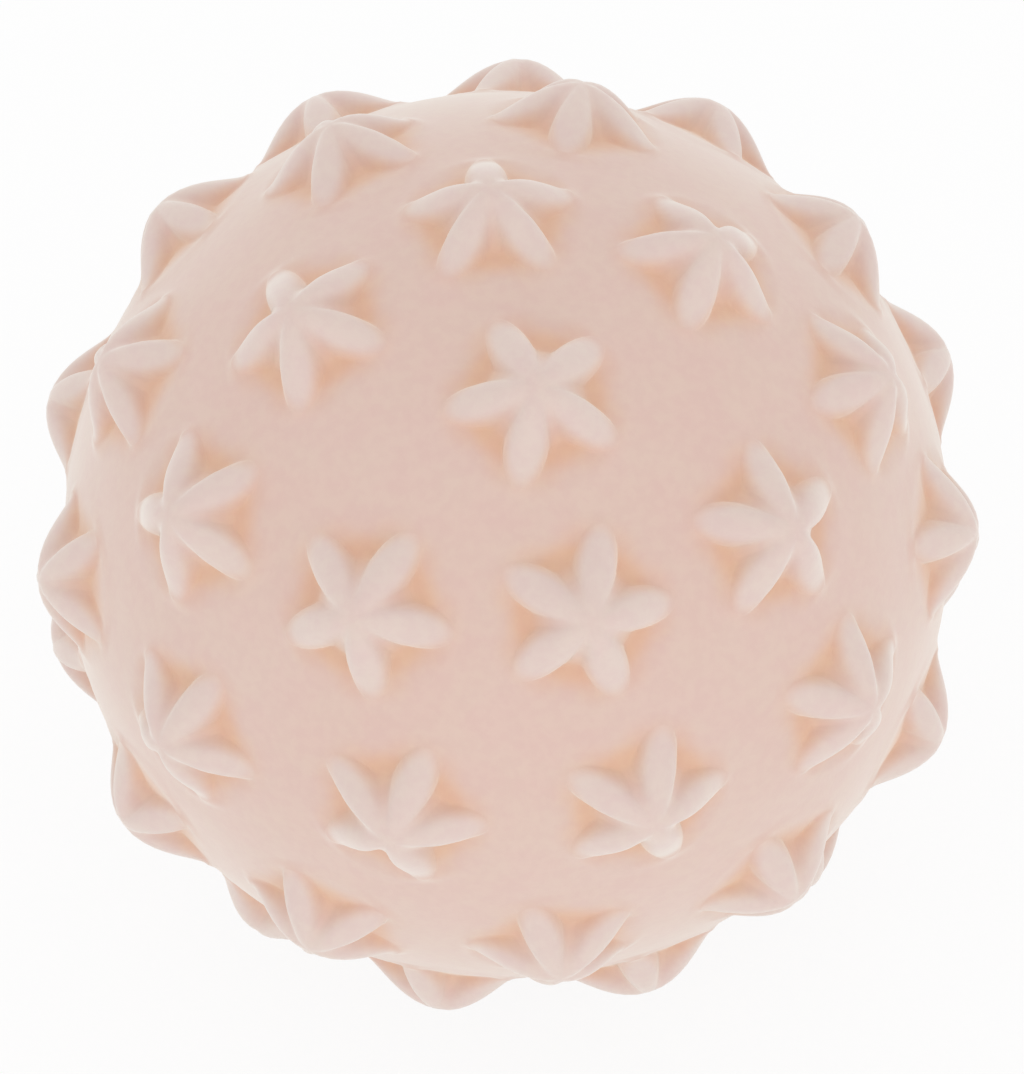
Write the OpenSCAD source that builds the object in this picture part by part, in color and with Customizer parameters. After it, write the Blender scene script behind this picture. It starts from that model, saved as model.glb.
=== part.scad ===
// Hollow moulded ball for a baby to hold, with a field of five-armed stars.
// Two identical half mouldings meet on a flat ring round the middle, and the
// lower one is the upper one turned over. The ball's centre is the origin and
// +Z runs up through the star at the top.

/* [Ball] */
// Diameter over the smooth skin between the stars
ball_d = 83; // [76:1:110]
// Thickness of the hollow ball's wall
wall = 3; // [2:0.25:5]

/* [Star] */
// How far the peak of a star stands above the skin
star_h = 3.6; // [2:0.1:6]
// Distance along the skin from a star's centre to the tip of an arm
arm_reach = 7.8; // [5:0.1:8.4]
// Greatest width of an arm
arm_w = 3.9; // [2:0.1:4.4]
// How far out the web between two arms runs
web_reach = 4.4; // [3:0.1:4.8]
// Size of the fillet where arms and web run into each other
web_fillet = 0.6; // [0.1:0.1:1.5]
// Size of the fillet where a star runs into the skin
root_fillet = 0.35; // [0.05:0.05:0.8]

/* [Star rings] */
// Rings of stars on each half, counting the single star at the pole
rings = 4; // [2:1:4]
// Stars in the ring next to the pole
ring_1_stars = 5; // [3:1:5]
// Stars in the middle ring
ring_2_stars = 11; // [6:1:11]
// Stars in the ring next to the joint
ring_3_stars = 12; // [8:1:13]

/* [Joint] */
// How far the lip along the joint stands in from the wall
lip_t = 1.5; // [0.5:0.25:4]
// Height of the lip's straight face above the joint
lip_h = 2; // [1:0.25:6]

/* [Sealing plug] */
// Diameter of the plug's flange, which is bonded to the inside of the wall
flange_d = 18; // [14:0.5:30]
// Thickness of the flange
flange_t = 1.2; // [0.5:0.1:3]
// Diameter of the plug's stem
stem_d = 9; // [5:0.5:12]
// How far the plug stands in from the wall
plug_h = 8; // [7:0.5:14]

/* [Hidden] */

skin_r = ball_d / 2;
inner_r = skin_r - wall;
stem_r = stem_d / 2;

// Every cutter runs past what it cuts by this much
overrun = 1;
// How deep the root of a star is sunk into the wall
root_sink = 0.5;

// The rings lie one step apart, from the pole down to half a step above the joint
ring_step = 90 / (rings - 0.5);
ring_stars = [1, ring_1_stars, ring_2_stars, ring_3_stars];
// Bearing of the first star of each ring, counted round +Z from +X
ring_bearing = [0, -8.7, 19, 15];
// Turn of each ring's stars, counted from the way down to the joint
ring_turn = [20.9, 50.8, 14.4, 16.8];
// The lower half is the upper one turned over about a level line at this bearing
turnover_bearing = 39.25;

// An arm is widest this far along it, and ends in half an ellipse
arm_middle_share = 0.53;
// Towards the root an arm thins by the waist and drops a little
waist = 1.6;
root_drop = 0.3;
// The crest falls from the star's peak to the arm's tip as a power of a cosine
crest_power = 1.2;
// It is followed no nearer to the tip than this
tip_share = 0.98;
// The web falls below the crest as a power of the way out
web_power = 4;
// Share of an arm's half width in which its side rises
fullness_share = 0.6;
// How much two fillets of the web lift the star's peak
peak_lift_share = (1 + sqrt(5)) / 4;

ARMS = 5;
sector = 360 / ARMS;
// Rays from the star's centre to each side of an arm, closer together near its tip
SIDE_RAYS = 3;
RAYS = ARMS * 2 * SIDE_RAYS;
ray_power = 1.2;
// Points along a ray, as shares of the way to the star's outline
ray_shares = [0.35, 0.65, 0.9];
// The root's edge lies just outside the outline
root_share = 1.02;

arm_middle = arm_reach * arm_middle_share;
arm_end = arm_reach - arm_middle;

// Height of an arm's crest above the skin at a distance from the star's centre
function crest(out) = star_h * pow(cos(90 * min(tip_share, out / arm_reach)), crest_power);

// The square of the way from an arm's widest place back to the root
function rootward(along) = pow(max(0, arm_middle - along) / arm_middle, 2);

// How deep inside an arm's outline its middle line runs, and a point beside it
function spine(along) =
    1 - pow(max(0, along - arm_middle) / arm_end, 2) - root_drop * rootward(along);
function inside(along, across) =
    spine(along) - pow(2 * across / arm_w, 2) * (1 + waist * rootward(along));

// Height of one arm, which goes on down below zero outside its outline
function ridge(along, across) =
    let (
        depth = inside(along, across),
        full = spine(min(along, arm_reach * tip_share)),
        rise = max(0, depth) / full + fullness_share
    )
    crest(along) / full * (1 + fullness_share) * depth / rise;

// The higher of two heights, with a fillet where they cross
function softly_higher(a, b, fillet) = (a + b + sqrt(pow(a - b, 2) + pow(fillet, 2))) / 2;

// Height of a star at a distance from its centre and an angle from the nearest arm
function star_height(out, fold) =
    let (
        arm = ridge(out * cos(fold), out * sin(fold)),
        neighbour = ridge(out * cos(sector - fold), out * sin(sector - fold)),
        web = crest(out) * (1 - pow(out / web_reach, web_power)),
        top = softly_higher(softly_higher(arm, neighbour, web_fillet), web, web_fillet),
        lifted = star_h + web_fillet * peak_lift_share
    )
    softly_higher(top, 0, root_fillet) * star_h / softly_higher(lifted, 0, root_fillet);

// Distance from a star's centre to its outline at an angle from the nearest arm, by halving
function star_edge(fold, low = web_reach, high = arm_reach, tries = 16) =
    let (out = (low + high) / 2)
    tries == 0 ? low :
    inside(out * cos(fold), out * sin(fold)) > 0 ? star_edge(fold, out, high, tries - 1) :
    star_edge(fold, low, out, tries - 1);

// A point over the pole, by its distance along the skin, its bearing and its height above the skin
function over_skin(out, bearing, height) =
    let (tilt = out / skin_r * 180 / PI)
    (skin_r + height) * [sin(tilt) * cos(bearing), sin(tilt) * sin(bearing), cos(tilt)];

// One ring of a star's points, at a share of the way from its centre to its outline
function star_ring(share, sunk = false) = [
    for (arm = [0 : ARMS - 1], side = [-SIDE_RAYS : SIDE_RAYS - 1])
        let (
            fold = sector / 2 * pow(abs(side) / SIDE_RAYS, ray_power),
            out = share * star_edge(fold),
            height = sunk ? -root_sink : star_height(out, fold)
        )
        over_skin(out, arm * sector + sign(side) * fold, height)
];

// A star over the pole: a skin of rings round its peak, closed under the ball's skin
module star() {
    last = len(ray_shares);
    under = 1 + (last + 1) * RAYS;
    points = concat(
        [over_skin(0, 0, star_h)],
        [for (share = ray_shares) each star_ring(share)],
        star_ring(root_share, sunk = true),
        [over_skin(0, 0, -2 * root_sink)]
    );
    faces = [
        for (ray = [0 : RAYS - 1])
            let (
                next = (ray + 1) % RAYS,
                before_tip = ray % (2 * SIDE_RAYS) < SIDE_RAYS
            )
            each concat(
                [[0, 1 + next, 1 + ray], [under, under - RAYS + ray, under - RAYS + next]],
                [for (ring = [0 : last - 1])
                    let (
                        a = 1 + ring * RAYS + ray,
                        b = 1 + ring * RAYS + next,
                        c = b + RAYS,
                        d = a + RAYS
                    )
                    each before_tip ? [[a, b, c], [a, c, d]] : [[a, b, d], [b, c, d]]
                ]
            )
    ];
    polyhedron(points, faces);
}

module star_field() {
    for (ring = [0 : rings - 1])
        for (star = [0 : ring_stars[ring] - 1])
            rotate([0, 0, ring_bearing[ring] + star * 360 / ring_stars[ring]])
                rotate([0, ring * ring_step, 0])
                    rotate([0, 0, ring_turn[ring]])
                        star();
}

// The lip widens the bonded edge inwards, and slopes back to the wall so that the core pulls out
module joint_lip() {
    lip_r = inner_r - lip_t;
    mid_r = skin_r - wall / 2;
    rotate_extrude($fn = 96)
        polygon([[lip_r, 0], [mid_r, 0], [mid_r, lip_h + mid_r - lip_r], [lip_r, lip_h]]);
}

// One half as it leaves the mould, with its joint face down
module half_moulding() {
    difference() {
        union() {
            sphere(r = skin_r, $fn = 96);
            star_field();
        }
        sphere(r = inner_r, $fn = 96);
        translate([0, 0, -skin_r - star_h - overrun])
            cylinder(r = skin_r + star_h + overrun, h = skin_r + star_h + overrun, $fn = 96);
    }
    joint_lip();
}

module upper_shell() {
    color([0.88, 0.78, 0.74])
        half_moulding();
}

module lower_shell() {
    color([0.90, 0.81, 0.76])
        rotate([0, 0, turnover_bearing])
            rotate([180, 0, 0])
                rotate([0, 0, -turnover_bearing])
                    half_moulding();
}

// Soft plug that heals after the filling needle, bonded inside the lower half
module sealing_plug() {
    color([0.80, 0.62, 0.50])
        intersection() {
            sphere(r = inner_r, $fn = 96);
            union() {
                difference() {
                    translate([0, 0, -inner_r - overrun])
                        cylinder(d = flange_d, h = inner_r + overrun, $fn = 64);
                    sphere(r = inner_r - flange_t, $fn = 96);
                }
                translate([0, 0, -inner_r - overrun])
                    cylinder(r = stem_r, h = plug_h - stem_r + overrun, $fn = 48);
                translate([0, 0, -inner_r + plug_h - stem_r])
                    sphere(r = stem_r, $fn = 48);
            }
        }
}

upper_shell();
lower_shell();
sealing_plug();
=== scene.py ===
"""A soft hollow ball with a field of raised stars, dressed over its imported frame."""

import math
from collections import namedtuple

import bpy
from bpy.props import FloatProperty, FloatVectorProperty, PointerProperty
from mathutils import Matrix, Vector
from mathutils.geometry import delaunay_2d_cdt


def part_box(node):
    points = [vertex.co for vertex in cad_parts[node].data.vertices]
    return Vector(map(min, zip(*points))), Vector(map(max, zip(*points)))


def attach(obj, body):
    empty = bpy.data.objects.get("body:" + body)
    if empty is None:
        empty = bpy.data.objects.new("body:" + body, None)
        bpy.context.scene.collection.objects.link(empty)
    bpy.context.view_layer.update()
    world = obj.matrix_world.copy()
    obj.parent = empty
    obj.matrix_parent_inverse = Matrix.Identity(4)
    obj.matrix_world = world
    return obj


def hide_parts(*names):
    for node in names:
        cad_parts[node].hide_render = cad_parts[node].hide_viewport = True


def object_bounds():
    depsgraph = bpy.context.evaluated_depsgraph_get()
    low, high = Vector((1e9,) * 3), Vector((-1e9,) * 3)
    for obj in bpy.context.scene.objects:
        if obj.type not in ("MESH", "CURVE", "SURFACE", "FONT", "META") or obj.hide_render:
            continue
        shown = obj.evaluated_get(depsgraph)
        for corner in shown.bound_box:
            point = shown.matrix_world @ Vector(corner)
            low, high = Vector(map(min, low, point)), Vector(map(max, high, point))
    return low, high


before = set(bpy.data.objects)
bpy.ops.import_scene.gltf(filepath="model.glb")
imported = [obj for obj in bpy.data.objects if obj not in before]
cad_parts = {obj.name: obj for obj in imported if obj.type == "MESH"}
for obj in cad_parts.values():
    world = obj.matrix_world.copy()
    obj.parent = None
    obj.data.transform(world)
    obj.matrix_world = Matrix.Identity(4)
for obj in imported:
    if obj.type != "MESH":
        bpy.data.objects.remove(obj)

bl_info = {
    "name": "Star Sensory Ball",
    "version": (1, 0, 0),
    "blender": (4, 5, 0),
    "location": "3D View > Sidebar > Star Ball",
    "description": "Moulds a hollow rubber ball with raised stars and sets up its studio",
    "category": "Add Mesh",
}

MM = 0.001
CAD_BOX = [list(corner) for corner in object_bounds()]
PEAK_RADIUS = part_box("upper_shell")[1].z

# One ring of stars: how many, the bearing of the first, and the turn of each from the way
# down to the joint, in degrees. The rings lie one step apart, the first at the pole.
StarRing = namedtuple("StarRing", "stars bearing turn")
STAR_RINGS = (
    StarRing(1, 0, 20.9),
    StarRing(5, -8.7, 50.8),
    StarRing(11, 19, 14.4),
    StarRing(12, 15, 16.8),
)
RING_STEP = math.radians(90 / (len(STAR_RINGS) - 0.5))
# The lower half is the upper one turned over about a level line at this bearing
TURNOVER_BEARING = math.radians(39.25)
ARMS = 5
SECTOR = math.tau / ARMS
STAR_HEIGHT = 3.6 * MM

# The crest falls from the peak to the tip as a power of a cosine, followed no nearer to the tip
# than its share. The web between two arms falls below the crest as a power of the way out.
CREST_POWER = 1.2
TIP_SHARE = 0.98
WEB_POWER = 2.4
# The share of an arm's half width in which its side rises
FULLNESS = 0.6
# Towards the root an arm thins by the waist and drops a little
WAIST = 1.6
ROOT_DROP = 0.3
# How far out, as a share of an arm's reach, the fillets between the arms grow to their full size
FILLET_SHARE = 0.5

# Where something comes or goes, as shares of a reach or as depths
Span = namedtuple("Span", "start end")
# A star's relief ends between this share of an arm's reach and this share of the patch's radius
RELIEF_END = Span(1.02, 0.995)

# The pale crown of an arm, painted light that stands in for light shining through the thin rubber:
# # its share of the arm's width, and the depths between which it comes. Along the middle of an arm,
# # by shares of its reach, it comes more gently, from further out.
CROWN_SHARE = 0.92
CROWN_COMES = Span(-0.15, 0.62)
CROWN_GENTLE = 0.35
GENTLE_COMES = Span(0.38, 0.54)
GENTLE_GOES = Span(0.58, 0.9)
# The painted light that makes the web between the arms pale, and the star's centre, which is a
# # little less pale. Both end at shares of the web's reach.
WEB_PALE = 0.86
WEB_PALE_GOES = Span(0.43, 0.73)
CENTRE_PALE = 0.8
CENTRE_END = 0.65
# The warm glow is painted light, which stands in for light shining through the rubber and
# # bouncing between the arms. It comes between two shares of the web's reach, wanes from a third,
# # and ends at a share of an arm's. Beside an arm it is fainter and ends further out, and it comes
# # with the depth too.
GLOW_COMES = Span(0.6, 1.12)
GLOW_WANES = 1.2
NOTCH_GLOW_END = 0.93
FLANK_GLOW_END = 1.16
FLANK_GLOW_COMES = Span(-3.8, -0.6)
FLANK_GLOW = 0.6

# The flat star's mesh: rays to each side of an arm, closer together near its tip by a power, and
# rings inside its outline and outside it, closer together near the outline by theirs
SIDE_RAYS = 11
RAYS = ARMS * 2 * SIDE_RAYS
RAY_POWER = 1.2
INNER_RINGS = 12
INNER_POWER = 0.9
OUTER_RINGS = 9
OUTER_POWER = 1.5

# The plain skin's mesh, whose points keep clear of the stars' patches by a share of their spacing
JOINT_POINTS = 180
SKIN_SPACING = 1.7 * MM
CLEAR_SHARE = 0.45
WALL_RINGS = 26
WELD_DISTANCE = 0.004 * MM

# The rubber's patterns, in repeats to a metre
CLOUD_SCALE = 55
BLUSH_SCALE = 260
PEEL_SCALE = 700
SPECKLE_SCALE = 1000
GRAIN_SCALE = 2600
GUM_SCALE = 260
# The values of a pattern between which a cloud or a tint comes
CLOUD_COMES = Span(0.35, 0.75)
TINT_COMES = Span(0.35, 0.65)
# How much of the arms' colour a cloud brings, and how far the clouds change the painted warm glow
CLOUD_SHARE = 0.12
GLOW_CHANGE = 0.4
# What the strongest blush and speckle leave of each colour
BLUSH_TINT = (1, 0.972, 0.99, 1)
SPECKLE_TINT = (0.982, 0.96, 0.975, 1)
# How far the grain changes the roughness, and the fine relief of the grain and the orange peel
GRAIN_ROUGHNESS = 0.16
PEEL_SHARE = 0.8
RELIEF_STRENGTH = 0.35
RELIEF_DEPTH = 0.03 * MM
RUBBER_IOR = 1.43
SHEEN_ROUGHNESS = 0.5
SHEEN_TINT = (1, 0.985, 0.93, 1)

# The studio. The floor shows this much of pure white, and the rest of it keeps the ball's shadow.
FLOOR_SIDE = 6
FLOOR_WHITE = 0.88
FIBRE_SCALE = 900
LAMP_WIDTH = 0.5
LAMP_HEIGHT = 0.12
LAMP_PLACE = (0.06, -0.5, 0.02)

# The ball's outline and centre in the photograph, in its own pixels
PHOTO_WIDTH = 1024
PHOTO_HEIGHT = 1074
BALL_RADIUS_PX = 442.7
BALL_CENTRE_PX = (507.0, 534.5)
SENSOR_WIDTH = 36
NEAREST_SEEN = 0.01
FARTHEST_SEEN = 20


class StarBallSizes(bpy.types.PropertyGroup):
    """Sizes of the ball and its stars"""

    star_height: FloatProperty(
        name="Star Height",
        description="How far the peak of a star stands above the skin",
        default=STAR_HEIGHT,
        min=1 * MM,
        max=8 * MM,
        precision=5,
        unit="LENGTH",
    )
    skin_radius: FloatProperty(
        name="Skin Radius",
        description="Radius of the smooth skin between the stars",
        default=PEAK_RADIUS - STAR_HEIGHT,
        min=20 * MM,
        max=100 * MM,
        precision=5,
        unit="LENGTH",
    )
    arm_reach: FloatProperty(
        name="Arm Reach",
        description="Distance along the skin from a star's centre to the tip of an arm",
        default=7.8 * MM,
        min=4 * MM,
        max=8.4 * MM,
        precision=5,
        unit="LENGTH",
    )
    arm_width: FloatProperty(
        name="Arm Width",
        description="Greatest width of an arm",
        default=3.75 * MM,
        min=1 * MM,
        max=5 * MM,
        precision=5,
        unit="LENGTH",
    )
    arm_middle: FloatProperty(
        name="Arm Middle",
        description="Where an arm is widest, as a share of its reach",
        default=0.53,
        min=0.4,
        max=0.7,
        subtype="FACTOR",
    )
    web_reach: FloatProperty(
        name="Web Reach",
        description="How far out the web between two arms runs",
        default=4.3 * MM,
        min=2 * MM,
        max=6 * MM,
        precision=5,
        unit="LENGTH",
    )
    patch_radius: FloatProperty(
        name="Patch Radius",
        description="Radius, along the skin, of the round patch that carries a star",
        default=8.95 * MM,
        min=8.5 * MM,
        max=9.2 * MM,
        precision=5,
        unit="LENGTH",
    )
    root_fillet: FloatProperty(
        name="Root Fillet",
        description="How softly the arms run into the skin",
        default=0.35 * MM,
        min=0.01 * MM,
        max=2 * MM,
        precision=5,
        unit="LENGTH",
    )
    web_fillet: FloatProperty(
        name="Web Fillet",
        description="How softly neighbouring arms run into each other",
        default=0.6 * MM,
        min=0.01 * MM,
        max=2 * MM,
        precision=5,
        unit="LENGTH",
    )
    wall: FloatProperty(
        name="Wall",
        description="Thickness of the hollow ball's wall",
        default=3 * MM,
        min=1 * MM,
        max=6 * MM,
        precision=5,
        unit="LENGTH",
    )
    lip_thickness: FloatProperty(
        name="Lip Thickness",
        description="How far the lip along the joint stands in from the wall",
        default=1.5 * MM,
        min=0.5 * MM,
        max=4 * MM,
        precision=5,
        unit="LENGTH",
    )
    lip_height: FloatProperty(
        name="Lip Height",
        description="Height of the lip's straight face above the joint",
        default=2 * MM,
        min=0.5 * MM,
        max=6 * MM,
        precision=5,
        unit="LENGTH",
    )


class StarBallFinish(bpy.types.PropertyGroup):
    """Colours and surface of the rubber"""

    skin_colour: FloatVectorProperty(
        name="Skin Colour",
        description="Rubber between the stars",
        subtype="COLOR",
        default=(0.72, 0.528, 0.449),
        min=0,
        max=1,
    )
    # The arm colour also serves as the painted light on the crests, the web and the star's centres
    arm_colour: FloatVectorProperty(
        name="Arm Colour",
        description="Rubber on the crests of the stars",
        subtype="COLOR",
        default=(0.736, 0.598, 0.535),
        min=0,
        max=1,
    )
    # Painted light: a warm glow in the notches, for light that shines through the rubber and bounces
    # between the arms
    painted_glow_colour: FloatVectorProperty(
        name="Crevice Colour",
        description="Warm glow of the rubber in the notches between the arms",
        subtype="COLOR",
        default=(0.75, 0.485, 0.338),
        min=0,
        max=1,
    )
    gum_colour: FloatVectorProperty(
        name="Gum Colour",
        description="Raw gum rubber of the sealing plug",
        subtype="COLOR",
        default=(0.56, 0.33, 0.18),
        min=0,
        max=1,
    )
    roughness: FloatProperty(
        name="Roughness",
        description="How matte the skin is",
        subtype="FACTOR",
        default=0.62,
        min=0,
        max=1,
    )


class StarBallStudio(bpy.types.PropertyGroup):
    """Camera, lamps and floor"""

    camera_distance: FloatProperty(
        name="Camera Distance",
        description="From the camera to the ball's centre",
        default=350.5 * MM,
        min=0.1,
        max=5,
        unit="LENGTH",
    )
    camera_elevation: FloatProperty(
        name="Camera Elevation",
        description="Height of the camera above the joint, as an angle",
        default=math.radians(48.9),
        subtype="ANGLE",
    )
    camera_roll: FloatProperty(
        name="Camera Roll",
        description="How far the camera is rolled clockwise",
        default=math.radians(2.9),
        subtype="ANGLE",
    )
    floor_colour: FloatVectorProperty(
        name="Floor Colour",
        description="Plain pale floor",
        subtype="COLOR",
        default=(0.94, 0.94, 0.94),
        min=0,
        max=1,
    )
    sky_strength: FloatProperty(
        name="Sky Strength",
        description="Even light from all round",
        default=0.96,
        min=0,
        max=5,
    )
    lamp_strength: FloatProperty(
        name="Lamp Strength",
        description="Power of the large soft lamp in front",
        default=0.26,
        min=0,
        max=100,
        unit="POWER",
    )


class NodeBench:
    """Adds nodes to one tree and feeds their sockets"""

    def __init__(self, tree):
        self.tree = tree

    def add(self, kind, settings=None, feeds=None):
        """A node of a kind, with its settings made first and then its sockets fed."""
        node = self.tree.nodes.new(kind)
        for name, setting in (settings or {}).items():
            setattr(node, name, setting)
        for key, value in (feeds or {}).items():
            self.feed(node.inputs[key], value)
        return node

    def feed(self, socket, value):
        """Links a socket to a value of the tree, or sets its plain value."""
        if isinstance(value, Amount):
            value = value.socket
        if isinstance(value, bpy.types.NodeSocket):
            self.tree.links.new(value, socket)
        else:
            socket.default_value = value

    def amount(self, socket):
        """A socket as a number that can be worked with."""
        return Amount(self, socket)


class Amount:
    """A number in a node tree, whose sums add the Math nodes that work them out"""

    def __init__(self, bench, socket):
        self.bench = bench
        self.socket = socket

    def worked(self, operation, *values):
        node = self.bench.add("ShaderNodeMath", {"operation": operation}, dict(enumerate(values)))
        return Amount(self.bench, node.outputs[0])

    def __add__(self, other):
        return self.worked("ADD", self, other)

    def __radd__(self, other):
        return self.worked("ADD", other, self)

    def __sub__(self, other):
        return self.worked("SUBTRACT", self, other)

    def __rsub__(self, other):
        return self.worked("SUBTRACT", other, self)

    def __mul__(self, other):
        return self.worked("MULTIPLY", self, other)

    def __rmul__(self, other):
        return self.worked("MULTIPLY", other, self)

    def __truediv__(self, other):
        return self.worked("DIVIDE", self, other)

    def __rtruediv__(self, other):
        return self.worked("DIVIDE", other, self)

    def __pow__(self, other):
        return self.worked("POWER", self, other)

    def __abs__(self):
        return self.worked("ABSOLUTE", self)

    def sine(self):
        return self.worked("SINE", self)

    def cosine(self):
        return self.worked("COSINE", self)

    def root(self):
        return self.worked("SQRT", self)

    def bearing_from(self, along):
        return self.worked("ARCTAN2", self, along)

    def wrapped(self, high, low):
        return self.worked("WRAP", self, high, low)

    def at_least(self, other):
        return self.worked("MAXIMUM", self, other)

    def at_most(self, other):
        return self.worked("MINIMUM", self, other)

    def share_of(self, start, end):
        """0 before start and 1 past end, and straight between them."""
        return ((self - start) / (end - start)).at_least(0).at_most(1)

    def eased(self, start, end):
        """0 before start and 1 past end, with a smooth step between them."""
        share = self.share_of(start, end)
        return share * share * (3 - 2 * share)


def shares_of(reach, span):
    """A span as two lengths, from its shares of a reach."""
    return reach * span.start, reach * span.end


def softly_higher(a, b, blend):
    """The higher of two heights, with a fillet of about the blend's size where they cross."""
    gap = a - b
    return (a + b + (gap * gap + blend * blend).root()) * 0.5


def crest_height(out, size):
    """Height of an arm's crest at a distance from the star's centre."""
    way = out.at_least(0).at_most(size["Arm Reach"] * TIP_SHARE) / size["Arm Reach"]
    return size["Star Height"] * (way * (math.pi / 2)).cosine() ** CREST_POWER


def arm_spine(along, size):
    """How deep inside an arm's outline its middle line runs, and the square of the way to the root."""
    middle = size["Arm Reach"] * size["Arm Middle"]
    outward = (along - middle).at_least(0) / (size["Arm Reach"] - middle)
    inward = (middle - along).at_least(0) / middle
    return 1 - outward * outward - ROOT_DROP * inward * inward, inward * inward


def arm_ridge(out, angle, size):
    """Height of one arm at a distance from the star's centre and an angle from the arm, which is
    below zero outside its outline, and how deep inside the outline and the pale crown that is."""
    along, across = out * angle.cosine(), abs(out * angle.sine())
    spine, rootward = arm_spine(along, size)
    side = across / (size["Arm Width"] * 0.5)
    inside = spine - side * side * (1 + WAIST * rootward)
    on_arm = along.at_least(0).at_most(size["Arm Reach"] * TIP_SHARE)
    full, _ = arm_spine(on_arm, size)
    rise = inside.at_least(0) / full + FULLNESS
    crown = spine - side * side * (1 + WAIST * rootward) / CROWN_SHARE**2
    return crest_height(along, size) / full * (1 + FULLNESS) * inside / rise, inside, crown


def star_relief(out, fold, size):
    """Height of a star at a distance from its centre and an angle from the nearest arm, and how
    deep inside that arm's outline and its pale crown the place lies."""
    own, inside, crown = arm_ridge(out, fold, size)
    near = arm_ridge(out, SECTOR - fold, size)[0]
    web = crest_height(out, size) * (1 - (out / size["Web Reach"]) ** WEB_POWER)
    fillet = size["Web Fillet"] * out.share_of(0, size["Arm Reach"] * FILLET_SHARE)
    star = softly_higher(softly_higher(own, near, fillet), web, fillet)
    raised = softly_higher(star, 0, size["Root Fillet"])
    peak = softly_higher(size["Star Height"], 0, size["Root Fillet"])
    fade = 1 - out.eased(
        size["Arm Reach"] * RELIEF_END.start, size["Patch Radius"] * RELIEF_END.end
    )
    return raised * (size["Star Height"] / peak) * fade, inside, crown


def star_painted_light(out, inside, crown, size):
    """How much painted light the rubber gets: paler on the arms and the web, where light shines
    through the thin rubber, and a warm glow at the foot of the arms, most of all in the notches,
    where light shines through and bounces between the arms."""
    arm, web = size["Arm Reach"], size["Web Reach"]
    gentle = out.eased(*shares_of(arm, GENTLE_COMES))
    gentle = gentle * (1 - out.share_of(*shares_of(arm, GENTLE_GOES)))
    crown_painted_light = crown.eased(CROWN_COMES.start - CROWN_GENTLE * gentle, CROWN_COMES.end)
    web_painted_light = WEB_PALE * (1 - out.eased(*shares_of(web, WEB_PALE_GOES)))
    centre = CENTRE_PALE + (1 - CENTRE_PALE) * out.share_of(0, web * CENTRE_END)
    pale = crown_painted_light.at_least(web_painted_light) * centre
    notch_glow = 1 - out.eased(web * GLOW_WANES, arm * NOTCH_GLOW_END)
    flank_glow = FLANK_GLOW * inside.eased(*FLANK_GLOW_COMES)
    flank_glow = flank_glow * (1 - out.eased(web * GLOW_WANES, arm * FLANK_GLOW_END))
    warm = notch_glow.at_least(flank_glow) * out.eased(*shares_of(web, GLOW_COMES))
    return {"pale": pale, "warm": warm}


def point_at(bench, out, up, level_bearing):
    """A place by its distance from the ball's axis, its height and its bearing."""
    return bench.add(
        "ShaderNodeCombineXYZ",
        feeds={0: out * level_bearing.cosine(), 1: out * level_bearing.sine(), 2: up},
    ).outputs[0]


STAR_LENGTHS = (
    "Skin Radius",
    "Star Height",
    "Arm Reach",
    "Arm Width",
    "Web Reach",
    "Patch Radius",
    "Root Fillet",
    "Web Fillet",
)
STAR_SIZES = (*STAR_LENGTHS, "Arm Middle")


def new_star_tree():
    """An empty tree with the star field's inputs and its output."""
    tree = bpy.data.node_groups.new("raised_star_field", "GeometryNodeTree")
    sockets = tree.interface
    sockets.new_socket("Plain Skin", in_out="INPUT", socket_type="NodeSocketGeometry")
    sockets.new_socket("Flat Star", in_out="INPUT", socket_type="NodeSocketObject")
    for name in STAR_LENGTHS:
        socket = sockets.new_socket(name, in_out="INPUT", socket_type="NodeSocketFloat")
        socket.subtype = "DISTANCE"
    sockets.new_socket("Arm Middle", in_out="INPUT", socket_type="NodeSocketFloat")
    sockets.new_socket("Rubber", in_out="INPUT", socket_type="NodeSocketMaterial")
    sockets.new_socket("Half Moulding", in_out="OUTPUT", socket_type="NodeSocketGeometry")
    return tree


def raised_star(bench, given):
    """The flat star laid over the pole of the ball and raised, with its painted light as attributes."""
    size = {name: bench.amount(given[name]) for name in STAR_SIZES}
    flat = bench.add(
        "GeometryNodeObjectInfo", {"transform_space": "ORIGINAL"}, {"Object": given["Flat Star"]}
    )
    position = bench.add("GeometryNodeInputPosition").outputs[0]
    place = bench.add("ShaderNodeSeparateXYZ", feeds={0: position}).outputs
    flat_x, flat_y = bench.amount(place[0]), bench.amount(place[1])
    out = (flat_x * flat_x + flat_y * flat_y).root()
    bearing = flat_y.bearing_from(flat_x)
    fold = abs(bearing.wrapped(SECTOR / 2, -SECTOR / 2))
    height, inside, crown = star_relief(out, fold, size)

    geometry = flat.outputs["Geometry"]
    for name, value in star_painted_light(out, inside, crown, size).items():
        stored = bench.add(
            "GeometryNodeStoreNamedAttribute",
            {"data_type": "FLOAT", "domain": "POINT"},
            {"Geometry": geometry, "Name": name, "Value": value},
        )
        geometry = stored.outputs[0]
    tilt = out / size["Skin Radius"]
    radius = size["Skin Radius"] + height
    over_ball = point_at(bench, radius * tilt.sine(), radius * tilt.cosine(), bearing)
    return bench.add(
        "GeometryNodeSetPosition", feeds={"Geometry": geometry, "Position": over_ball}
    ).outputs[0]


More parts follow.
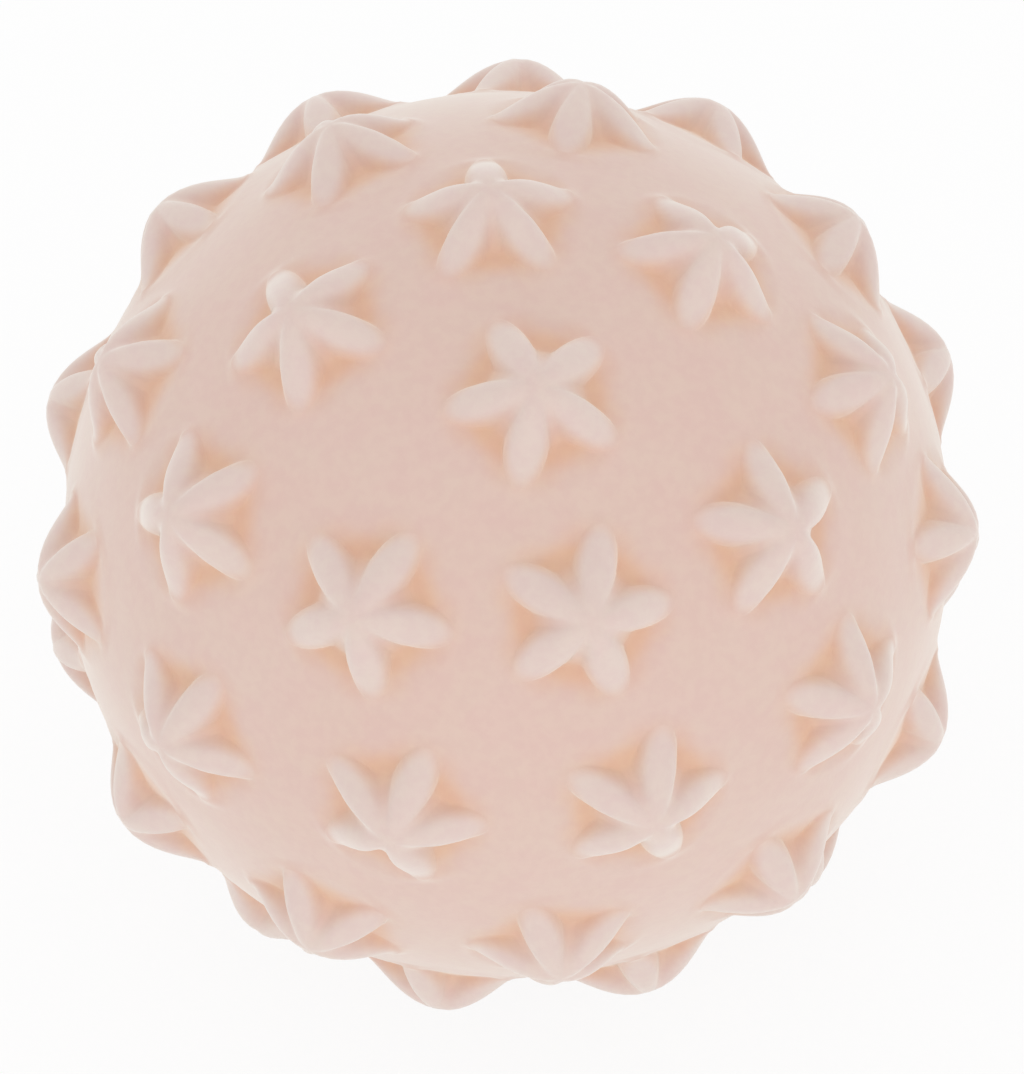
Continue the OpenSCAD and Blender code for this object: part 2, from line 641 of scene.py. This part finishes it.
def seated_ring(bench, star, step, ring):
    """A star on each seat of one ring, leaned down from the pole and turned."""
    seats = bench.add("GeometryNodePoints", feeds={"Count": ring.stars})
    index = bench.amount(bench.add("GeometryNodeInputIndex").outputs[0])
    bearing = index * (math.tau / ring.stars) + math.radians(ring.bearing)
    lean = bench.add("ShaderNodeCombineXYZ", feeds={1: step * RING_STEP, 2: bearing})
    leaned = bench.add("FunctionNodeEulerToRotation", feeds={0: lean.outputs[0]})
    turned = bench.add(
        "FunctionNodeRotateRotation",
        {"rotation_space": "LOCAL"},
        {0: leaned.outputs[0], 1: (0, 0, math.radians(ring.turn))},
    )
    return bench.add(
        "GeometryNodeInstanceOnPoints",
        feeds={"Points": seats.outputs[0], "Instance": star, "Rotation": turned.outputs[0]},
    ).outputs[0]


def star_field_tree():
    """Raises the flat star over the ball, and seats it once for each star of a half moulding."""
    tree = new_star_tree()
    bench = NodeBench(tree)
    given = bench.add("NodeGroupInput").outputs
    star = raised_star(bench, given)
    joined = bench.add("GeometryNodeJoinGeometry", feeds={0: given["Plain Skin"]})
    for step, ring in enumerate(STAR_RINGS):
        bench.feed(joined.inputs[0], seated_ring(bench, star, step, ring))
    loose = bench.add("GeometryNodeRealizeInstances", feeds={0: joined.outputs[0]})
    welded = bench.add(
        "GeometryNodeMergeByDistance",
        feeds={"Geometry": loose.outputs[0], "Distance": WELD_DISTANCE},
    )
    shaded = bench.add("GeometryNodeSetShadeSmooth", feeds={"Geometry": welded.outputs[0]})
    finished = bench.add(
        "GeometryNodeSetMaterial",
        feeds={"Geometry": shaded.outputs[0], "Material": given["Rubber"]},
    )
    bench.add("NodeGroupOutput", feeds={0: finished.outputs[0]})
    return tree


def plain_mesh(name, vertices, faces):
    """A mesh from its points and faces."""
    mesh = bpy.data.meshes.new(name)
    mesh.from_pydata(vertices, [], faces)
    mesh.validate()
    return mesh


def linked_object(name, mesh):
    """An object at the origin that shows a mesh."""
    piece = bpy.data.objects.new(name, mesh)
    bpy.context.scene.collection.objects.link(piece)
    return piece


def star_edge(sizes, fold):
    """Distance from a star's centre to its outline, at an angle from the nearest arm."""
    middle = sizes.arm_reach * sizes.arm_middle
    inner, outer = sizes.web_reach, sizes.arm_reach * 1.05
    while outer - inner > WELD_DISTANCE / 10:
        out = (inner + outer) / 2
        along, across = out * math.cos(fold), out * math.sin(fold)
        run = max(along - middle, 0) / (sizes.arm_reach - middle)
        rootward = (max(middle - along, 0) / middle) ** 2
        side = across / (sizes.arm_width / 2)
        if run**2 + ROOT_DROP * rootward + side**2 * (1 + WAIST * rootward) < 1:
            inner = out
        else:
            outer = out
    return inner


def star_rays(sizes):
    """The bearing and the outline's distance for each ray of a star."""
    folds = [SECTOR / 2 * (ray / SIDE_RAYS) ** RAY_POWER for ray in range(SIDE_RAYS + 1)]
    angles = [-fold for fold in reversed(folds[1:])] + folds[:-1]
    edges = [(angle, star_edge(sizes, abs(angle))) for angle in angles]
    return [(arm * SECTOR + angle, edge) for arm in range(ARMS) for angle, edge in edges]


def flat_star(sizes):
    """A star's patch as a flat disc, whose rays and rings follow the arms' outline."""
    rays = star_rays(sizes)
    vertices = [(0, 0, 0)]
    for ring in range(INNER_RINGS):
        share = math.sin(math.pi / 2 * (ring + 1) / INNER_RINGS) ** INNER_POWER
        for turn, edge in rays:
            vertices.append((math.cos(turn) * edge * share, math.sin(turn) * edge * share, 0))
    for ring in range(OUTER_RINGS):
        share = ((ring + 1) / OUTER_RINGS) ** OUTER_POWER
        for turn, edge in rays:
            out = edge + (sizes.patch_radius - edge) * share
            vertices.append((math.cos(turn) * out, math.sin(turn) * out, 0))
    faces = [(0, 1 + ray, 1 + (ray + 1) % RAYS) for ray in range(RAYS)]
    for ring in range(INNER_RINGS + OUTER_RINGS - 1):
        for ray in range(RAYS):
            here, there = 1 + ring * RAYS + ray, 1 + ring * RAYS + (ray + 1) % RAYS
            faces.append((here, here + RAYS, there + RAYS, there))
    return linked_object("flat_star", plain_mesh("flat_star", vertices, faces))


def star_seats():
    """The turn that carries a star from the pole to each of its places on a half moulding."""
    return [
        Matrix.Rotation(math.radians(ring.bearing) + math.tau * star / ring.stars, 3, "Z")
        @ Matrix.Rotation(step * RING_STEP, 3, "Y")
        @ Matrix.Rotation(math.radians(ring.turn), 3, "Z")
        for step, ring in enumerate(STAR_RINGS)
        for star in range(ring.stars)
    ]


def filler_points(radius, seats, clearance):
    """Points spread evenly over the skin that the stars and the joint leave free, on a spiral."""
    golden = math.pi * (3 - math.sqrt(5))
    count = round(math.tau * radius**2 / (SKIN_SPACING**2 * math.sqrt(3) / 2))
    nearest = math.cos(clearance / radius)
    axes = [seat @ Vector((0, 0, 1)) for seat in seats]
    points = []
    for number in range(count):
        height = 1 - (number + 0.5) / count
        level = math.sqrt(1 - height * height)
        way = Vector((level * math.cos(number * golden), level * math.sin(number * golden), height))
        if height * radius > SKIN_SPACING / 2 and all(axis.dot(way) < nearest for axis in axes):
            points.append(way * radius)
    return points


def patch_rim(sizes):
    """The rim of the star's patch at the pole, where it meets the plain skin."""
    tilt = sizes.patch_radius / sizes.skin_radius
    level, height = math.sin(tilt), math.cos(tilt)
    return [
        Vector((level * math.cos(turn), level * math.sin(turn), height)) * sizes.skin_radius
        for turn, _ in star_rays(sizes)
    ]


def outer_skin(sizes, bearings):
    """Points and triangles of the skin from the joint, at its bearings, up to the stars' rims."""
    radius = sizes.skin_radius
    seats = star_seats()
    rim = patch_rim(sizes)
    points = [Vector((math.cos(turn), math.sin(turn), 0)) * radius for turn in bearings]
    for seat in seats:
        points += [seat @ point for point in rim]
    points += filler_points(radius, seats, sizes.patch_radius + SKIN_SPACING * CLEAR_SHARE)
    # Seen from the lower pole on the plane of the joint, the half's skin is a flat disc
    flat = [Vector((point.x, point.y)) / (radius + point.z) for point in points]
    made = delaunay_2d_cdt(flat, [], [list(range(JOINT_POINTS))], 1, 1e-9)
    new_points, triangles, sources = made[0], made[2], made[3]
    if len(new_points) != len(points):
        raise RuntimeError("the plain skin's triangles changed its points")
    order = [source[0] for source in sources]

    def rim_of(point):
        """The number of the star whose rim a point is on, or -1."""
        place = order[point] - JOINT_POINTS
        return place // RAYS if 0 <= place < RAYS * len(seats) else -1

    faces = []
    for triangle in triangles:
        rims = {rim_of(point) for point in triangle}
        if rims == {-1} or len(rims) > 1:
            faces.append([order[point] for point in triangle])
    return [tuple(point) for point in points], faces


def add_inside(sizes, bearings, vertices, faces):
    """Adds the joint face, the lip and the inner wall, which closes at the pole."""
    profile = inner_profile(sizes)
    inner_start = len(vertices)
    for out, up in profile:
        vertices += [(out * math.cos(turn), out * math.sin(turn), up) for turn in bearings]
    vertices.append((0, 0, sizes.skin_radius - sizes.wall))
    pole = len(vertices) - 1
    rings = [0] + [inner_start + ring * JOINT_POINTS for ring in range(len(profile))]
    for low, high in zip(rings, rings[1:]):
        for point in range(JOINT_POINTS):
            beside = (point + 1) % JOINT_POINTS
            faces.append((low + beside, low + point, high + point, high + beside))
    for point in range(JOINT_POINTS):
        faces.append((rings[-1] + (point + 1) % JOINT_POINTS, rings[-1] + point, pole))


def plain_skin(sizes):
    """The half moulding without its stars: the skin, the joint face, the lip and the inner wall."""
    bearings = [TURNOVER_BEARING + math.tau * point / JOINT_POINTS for point in range(JOINT_POINTS)]
    vertices, faces = outer_skin(sizes, bearings)
    add_inside(sizes, bearings, vertices, faces)
    return linked_object("plain_skin", plain_mesh("plain_skin", vertices, faces))


def inner_profile(sizes):
    """Radius and height of the inside, from the joint face up the lip and the wall to near its pole."""
    inner = sizes.skin_radius - sizes.wall
    lip = inner - sizes.lip_thickness
    half_sum = (lip + sizes.lip_height) / 2
    spare = (inner**2 - lip**2 - sizes.lip_height**2) / 2
    slope = math.sqrt(half_sum**2 + spare) - half_sum
    start = math.atan2(sizes.lip_height + slope, lip + slope)
    wall = [start + (math.pi / 2 - start) * ring / WALL_RINGS for ring in range(WALL_RINGS)]
    straight = [(lip, 0), (lip, sizes.lip_height)]
    return straight + [(inner * math.cos(up), inner * math.sin(up)) for up in wall]


def set_input(modifier, name, value):
    """Sets a modifier's input by the identifier of the tree's socket."""
    for socket in modifier.node_group.interface.items_tree:
        if socket.in_out == "INPUT" and socket.name == name:
            modifier[socket.identifier] = value
            return
    raise KeyError(name)


def moulded_half(sizes, rubber):
    """The upper half moulding as a plain mesh, made by the star field's tree."""
    star = flat_star(sizes)
    blank = plain_skin(sizes)
    modifier = blank.modifiers.new("star_field", "NODES")
    modifier.node_group = star_field_tree()
    set_input(modifier, "Flat Star", star)
    set_input(modifier, "Rubber", rubber)
    for name in STAR_SIZES:
        set_input(modifier, name, getattr(sizes, name.lower().replace(" ", "_")))
    shown = blank.evaluated_get(bpy.context.evaluated_depsgraph_get())
    mesh = bpy.data.meshes.new_from_object(shown)
    blank.modifiers.remove(modifier)
    for tool in (star, blank):
        bpy.data.objects.remove(tool)
    smooth_over_joint(mesh)
    return mesh


def smooth_over_joint(mesh):
    """Lets the shading of the skin run straight across the joint, where the halves are bonded."""
    skin = max(vertex.co.length for vertex in mesh.vertices if abs(vertex.co.z) < WELD_DISTANCE)
    normals = [vertex.normal.copy() for vertex in mesh.vertices]
    for vertex in mesh.vertices:
        on_joint = abs(vertex.co.z) < WELD_DISTANCE
        if on_joint and vertex.co.length > skin - WELD_DISTANCE:
            normals[vertex.index] = vertex.co.normalized()
    mesh.normals_split_custom_set_from_vertices(normals)


def colour_mix(bench, share, first, second, blend="MIX"):
    """A colour between two others, or the first with a share of the second blended over it."""
    settings = {"data_type": "RGBA", "blend_type": blend}
    return bench.add("ShaderNodeMix", settings, {0: share, 6: first, 7: second}).outputs[2]


def opaque(colour):
    """A colour as the four values that a socket takes."""
    return (*colour, 1)


def new_material(name):
    """A material with an empty tree, its bench and its surface shader."""
    material = bpy.data.materials.new(name)
    material.use_nodes = True
    material.node_tree.nodes.clear()
    bench = NodeBench(material.node_tree)
    surface = bench.add("ShaderNodeBsdfPrincipled")
    bench.add("ShaderNodeOutputMaterial", feeds={"Surface": surface.outputs[0]})
    return material, bench, surface


def moulded_rubber(finish):
    """Matte rubber, with painted light: paler on the crests and a warm glow in the notches between the
    arms.
    """
    material, bench, surface = new_material("moulded_rubber")
    place = bench.add("ShaderNodeTexCoord").outputs["Object"]

    def painted(name):
        node = bench.add("ShaderNodeAttribute", {"attribute_name": name})
        return bench.amount(node.outputs["Fac"])

    def noise(scale, detail):
        feeds = {"Vector": place, "Scale": scale, "Detail": detail}
        return bench.amount(bench.add("ShaderNodeTexNoise", feeds=feeds).outputs["Fac"])

    clouds = noise(CLOUD_SCALE, 2)
    blush = noise(BLUSH_SCALE, 3)
    orange_peel = noise(PEEL_SCALE, 2)
    speckle = noise(SPECKLE_SCALE, 3)
    grain = noise(GRAIN_SCALE, 3)

    skin, arm = opaque(finish.skin_colour), opaque(finish.arm_colour)
    colour = colour_mix(bench, clouds.eased(*CLOUD_COMES) * CLOUD_SHARE, skin, arm)
    # Painted light: a warm glow in the notches and beside the arms
    painted_glow_share = painted("warm") * (1 - GLOW_CHANGE / 2 + GLOW_CHANGE * clouds)
    colour = colour_mix(bench, painted_glow_share, colour, opaque(finish.painted_glow_colour))
    # Painted light: the arms' colour over the crests, the web and the star's centres
    colour = colour_mix(bench, painted("pale"), colour, arm)
    colour = colour_mix(bench, blush.eased(*TINT_COMES), colour, BLUSH_TINT, "MULTIPLY")
    colour = colour_mix(bench, speckle.eased(*TINT_COMES), colour, SPECKLE_TINT, "MULTIPLY")
    bench.feed(surface.inputs["Base Color"], colour)
    bench.feed(surface.inputs["Roughness"], finish.roughness + (grain - 0.5) * GRAIN_ROUGHNESS)
    relief = {
        "Strength": RELIEF_STRENGTH,
        "Distance": RELIEF_DEPTH,
        "Height": grain + orange_peel * PEEL_SHARE,
    }
    bench.feed(surface.inputs["Normal"], bench.add("ShaderNodeBump", feeds=relief).outputs[0])
    surface.inputs["IOR"].default_value = RUBBER_IOR
    surface.inputs["Sheen Weight"].default_value = 1
    surface.inputs["Sheen Roughness"].default_value = SHEEN_ROUGHNESS
    surface.inputs["Sheen Tint"].default_value = SHEEN_TINT
    return material


def gum_rubber(finish):
    """Raw gum rubber, cloudy and a little glossy."""
    material, bench, surface = new_material("gum_rubber")
    place = bench.add("ShaderNodeTexCoord").outputs["Object"]
    node = bench.add("ShaderNodeTexNoise", feeds={"Vector": place, "Scale": GUM_SCALE, "Detail": 4})
    clouds = bench.amount(node.outputs["Fac"])
    pale = tuple(min(1, value * 1.25) for value in finish.gum_colour)
    body = colour_mix(bench, clouds.eased(0.3, 0.7), opaque(finish.gum_colour), opaque(pale))
    bench.feed(surface.inputs["Base Color"], body)
    bench.feed(surface.inputs["Roughness"], 0.42 + clouds * 0.2)
    bump = bench.add("ShaderNodeBump", feeds={"Strength": 0.3, "Distance": 0.05 * MM, "Height": clouds})
    bench.feed(surface.inputs["Normal"], bump.outputs[0])
    return material


class STARBALL_OT_half_mouldings(bpy.types.Operator):
    """Mould the two identical halves with their stars"""

    bl_idname = "starball.half_mouldings"
    bl_label = "Half Mouldings"

    def execute(self, context):
        scene = context.scene
        rubber = moulded_rubber(scene.starball_finish)
        upper = moulded_half(scene.starball_sizes, rubber)
        lower = upper.copy()
        turned_over = (
            Matrix.Rotation(TURNOVER_BEARING, 4, "Z")
            @ Matrix.Rotation(math.pi, 4, "X")
            @ Matrix.Rotation(-TURNOVER_BEARING, 4, "Z")
        )
        lower.transform(turned_over)
        smooth_over_joint(lower)
        for name, mesh, node in (
            ("upper_moulding", upper, "upper_shell"),
            ("lower_moulding", lower, "lower_shell"),
        ):
            piece = linked_object(name, mesh)
            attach(piece, "root")
            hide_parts(node)
        return {"FINISHED"}


class STARBALL_OT_sealing_plug(bpy.types.Operator):
    """Give the sealing plug its raw gum rubber"""

    bl_idname = "starball.sealing_plug"
    bl_label = "Sealing Plug"

    def execute(self, context):
        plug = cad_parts["sealing_plug"]
        plug.data.materials.clear()
        plug.data.materials.append(gum_rubber(context.scene.starball_finish))
        return {"FINISHED"}


class STARBALL_OT_studio(bpy.types.Operator):
    """Set the floor, the lamps and the camera"""

    bl_idname = "starball.studio"
    bl_label = "Studio"

    def execute(self, context):
        studio = context.scene.starball_studio
        lay_floor(studio)
        light_room(context.scene, studio)
        aim_camera(context.scene, studio)
        context.scene.view_settings.view_transform = "Standard"
        return {"FINISHED"}


def looked_at(bench):
    """1 for rays from the camera or a glossy surface, so that the room shows white behind the ball."""
    path = bench.add("ShaderNodeLightPath").outputs
    return (bench.amount(path["Is Camera Ray"]) + bench.amount(path["Is Glossy Ray"])).at_most(1)


def lay_floor(studio):
    """A plain pale floor under the lowest star."""
    material, bench, surface = new_material("floor_paper")
    place = bench.add("ShaderNodeTexCoord").outputs["Object"]
    feeds = {"Vector": place, "Scale": FIBRE_SCALE, "Detail": 3}
    fibre = bench.amount(bench.add("ShaderNodeTexNoise", feeds=feeds).outputs["Fac"])
    bench.feed(surface.inputs["Base Color"], opaque(studio.floor_colour))
    bench.feed(surface.inputs["Roughness"], 0.85 + fibre * 0.1)
    white = bench.add("ShaderNodeEmission", feeds={"Color": (1, 1, 1, 1), "Strength": 1})
    seen = bench.add(
        "ShaderNodeMixShader",
        feeds={0: looked_at(bench) * FLOOR_WHITE, 1: surface.outputs[0], 2: white.outputs[0]},
    )
    bench.feed(bench.tree.get_output_node("ALL").inputs["Surface"], seen.outputs[0])
    half = FLOOR_SIDE / 2
    level = CAD_BOX[0][2]
    corners = [(-half, -half, level), (half, -half, level), (half, half, level), (-half, half, level)]
    floor = linked_object("floor", plain_mesh("floor", corners, [(0, 1, 2, 3)]))
    floor.data.materials.append(material)


def light_room(scene, studio):
    """Even light from all round, and one large soft lamp low in front."""
    world = bpy.data.worlds.new("studio_room")
    world.use_nodes = True
    world.node_tree.nodes.clear()
    bench = NodeBench(world.node_tree)
    strength = studio.sky_strength + looked_at(bench) * (1 - studio.sky_strength)
    sky = bench.add("ShaderNodeBackground", feeds={"Color": (1, 1, 1, 1), "Strength": strength})
    bench.add("ShaderNodeOutputWorld", feeds={"Surface": sky.outputs[0]})
    scene.world = world

    lamp = bpy.data.lights.new("front_lamp", "AREA")
    lamp.shape = "RECTANGLE"
    lamp.size = LAMP_WIDTH
    lamp.size_y = LAMP_HEIGHT
    lamp.energy = studio.lamp_strength
    front = bpy.data.objects.new("front_lamp", lamp)
    front.visible_camera = False
    front.location = LAMP_PLACE
    front.rotation_euler = (-Vector(front.location)).to_track_quat("-Z", "Y").to_euler()
    scene.collection.objects.link(front)


def aim_camera(scene, studio):
    """The camera at the photograph's angle, distance and framing."""
    data = bpy.data.cameras.new("photo_camera")
    camera = bpy.data.objects.new("photo_camera", data)
    scene.collection.objects.link(camera)
    scene.camera = camera
    reach = studio.camera_distance / scene.starball_sizes.skin_radius
    focal_px = BALL_RADIUS_PX * math.sqrt(reach**2 - 1)
    long_side = max(PHOTO_WIDTH, PHOTO_HEIGHT)
    data.sensor_width = SENSOR_WIDTH
    data.lens = SENSOR_WIDTH * focal_px / long_side
    data.shift_x = (PHOTO_WIDTH / 2 - BALL_CENTRE_PX[0]) / long_side
    data.shift_y = (BALL_CENTRE_PX[1] - PHOTO_HEIGHT / 2) / long_side
    data.clip_start = NEAREST_SEEN
    data.clip_end = FARTHEST_SEEN
    up = studio.camera_elevation
    back = Vector((0, -math.cos(up), math.sin(up)))
    look = (-back).to_track_quat("-Z", "Y").to_matrix() @ Matrix.Rotation(-studio.camera_roll, 3, "Z")
    camera.matrix_world = Matrix.Translation(back * studio.camera_distance) @ look.to_4x4()


class STARBALL_PT_panel(bpy.types.Panel):
    """Lists the ball's sizes, finish and steps"""

    bl_label = "Star Ball"
    bl_space_type = "VIEW_3D"
    bl_region_type = "UI"
    bl_category = "Star Ball"

    def draw(self, context):
        scene = context.scene
        for group in (scene.starball_sizes, scene.starball_finish, scene.starball_studio):
            box = self.layout.box()
            for name in group.__annotations__:
                box.prop(group, name)
        for step in STEPS:
            self.layout.operator(step.bl_idname)


GROUPS = {
    "starball_sizes": StarBallSizes,
    "starball_finish": StarBallFinish,
    "starball_studio": StarBallStudio,
}
STEPS = (STARBALL_OT_half_mouldings, STARBALL_OT_sealing_plug, STARBALL_OT_studio)


def register():
    for name, group in GROUPS.items():
        bpy.utils.register_class(group)
        setattr(bpy.types.Scene, name, PointerProperty(type=group))
    for step in STEPS:
        bpy.utils.register_class(step)
    bpy.utils.register_class(STARBALL_PT_panel)


def unregister():
    bpy.utils.unregister_class(STARBALL_PT_panel)
    for step in reversed(STEPS):
        bpy.utils.unregister_class(step)
    for name, group in reversed(GROUPS.items()):
        delattr(bpy.types.Scene, name)
        bpy.utils.unregister_class(group)


def main():
    """Builds the dressed ball and its studio."""
    register()
    bpy.ops.starball.half_mouldings()
    bpy.ops.starball.sealing_plug()
    bpy.ops.starball.studio()


if __name__ == "__main__":
    main()
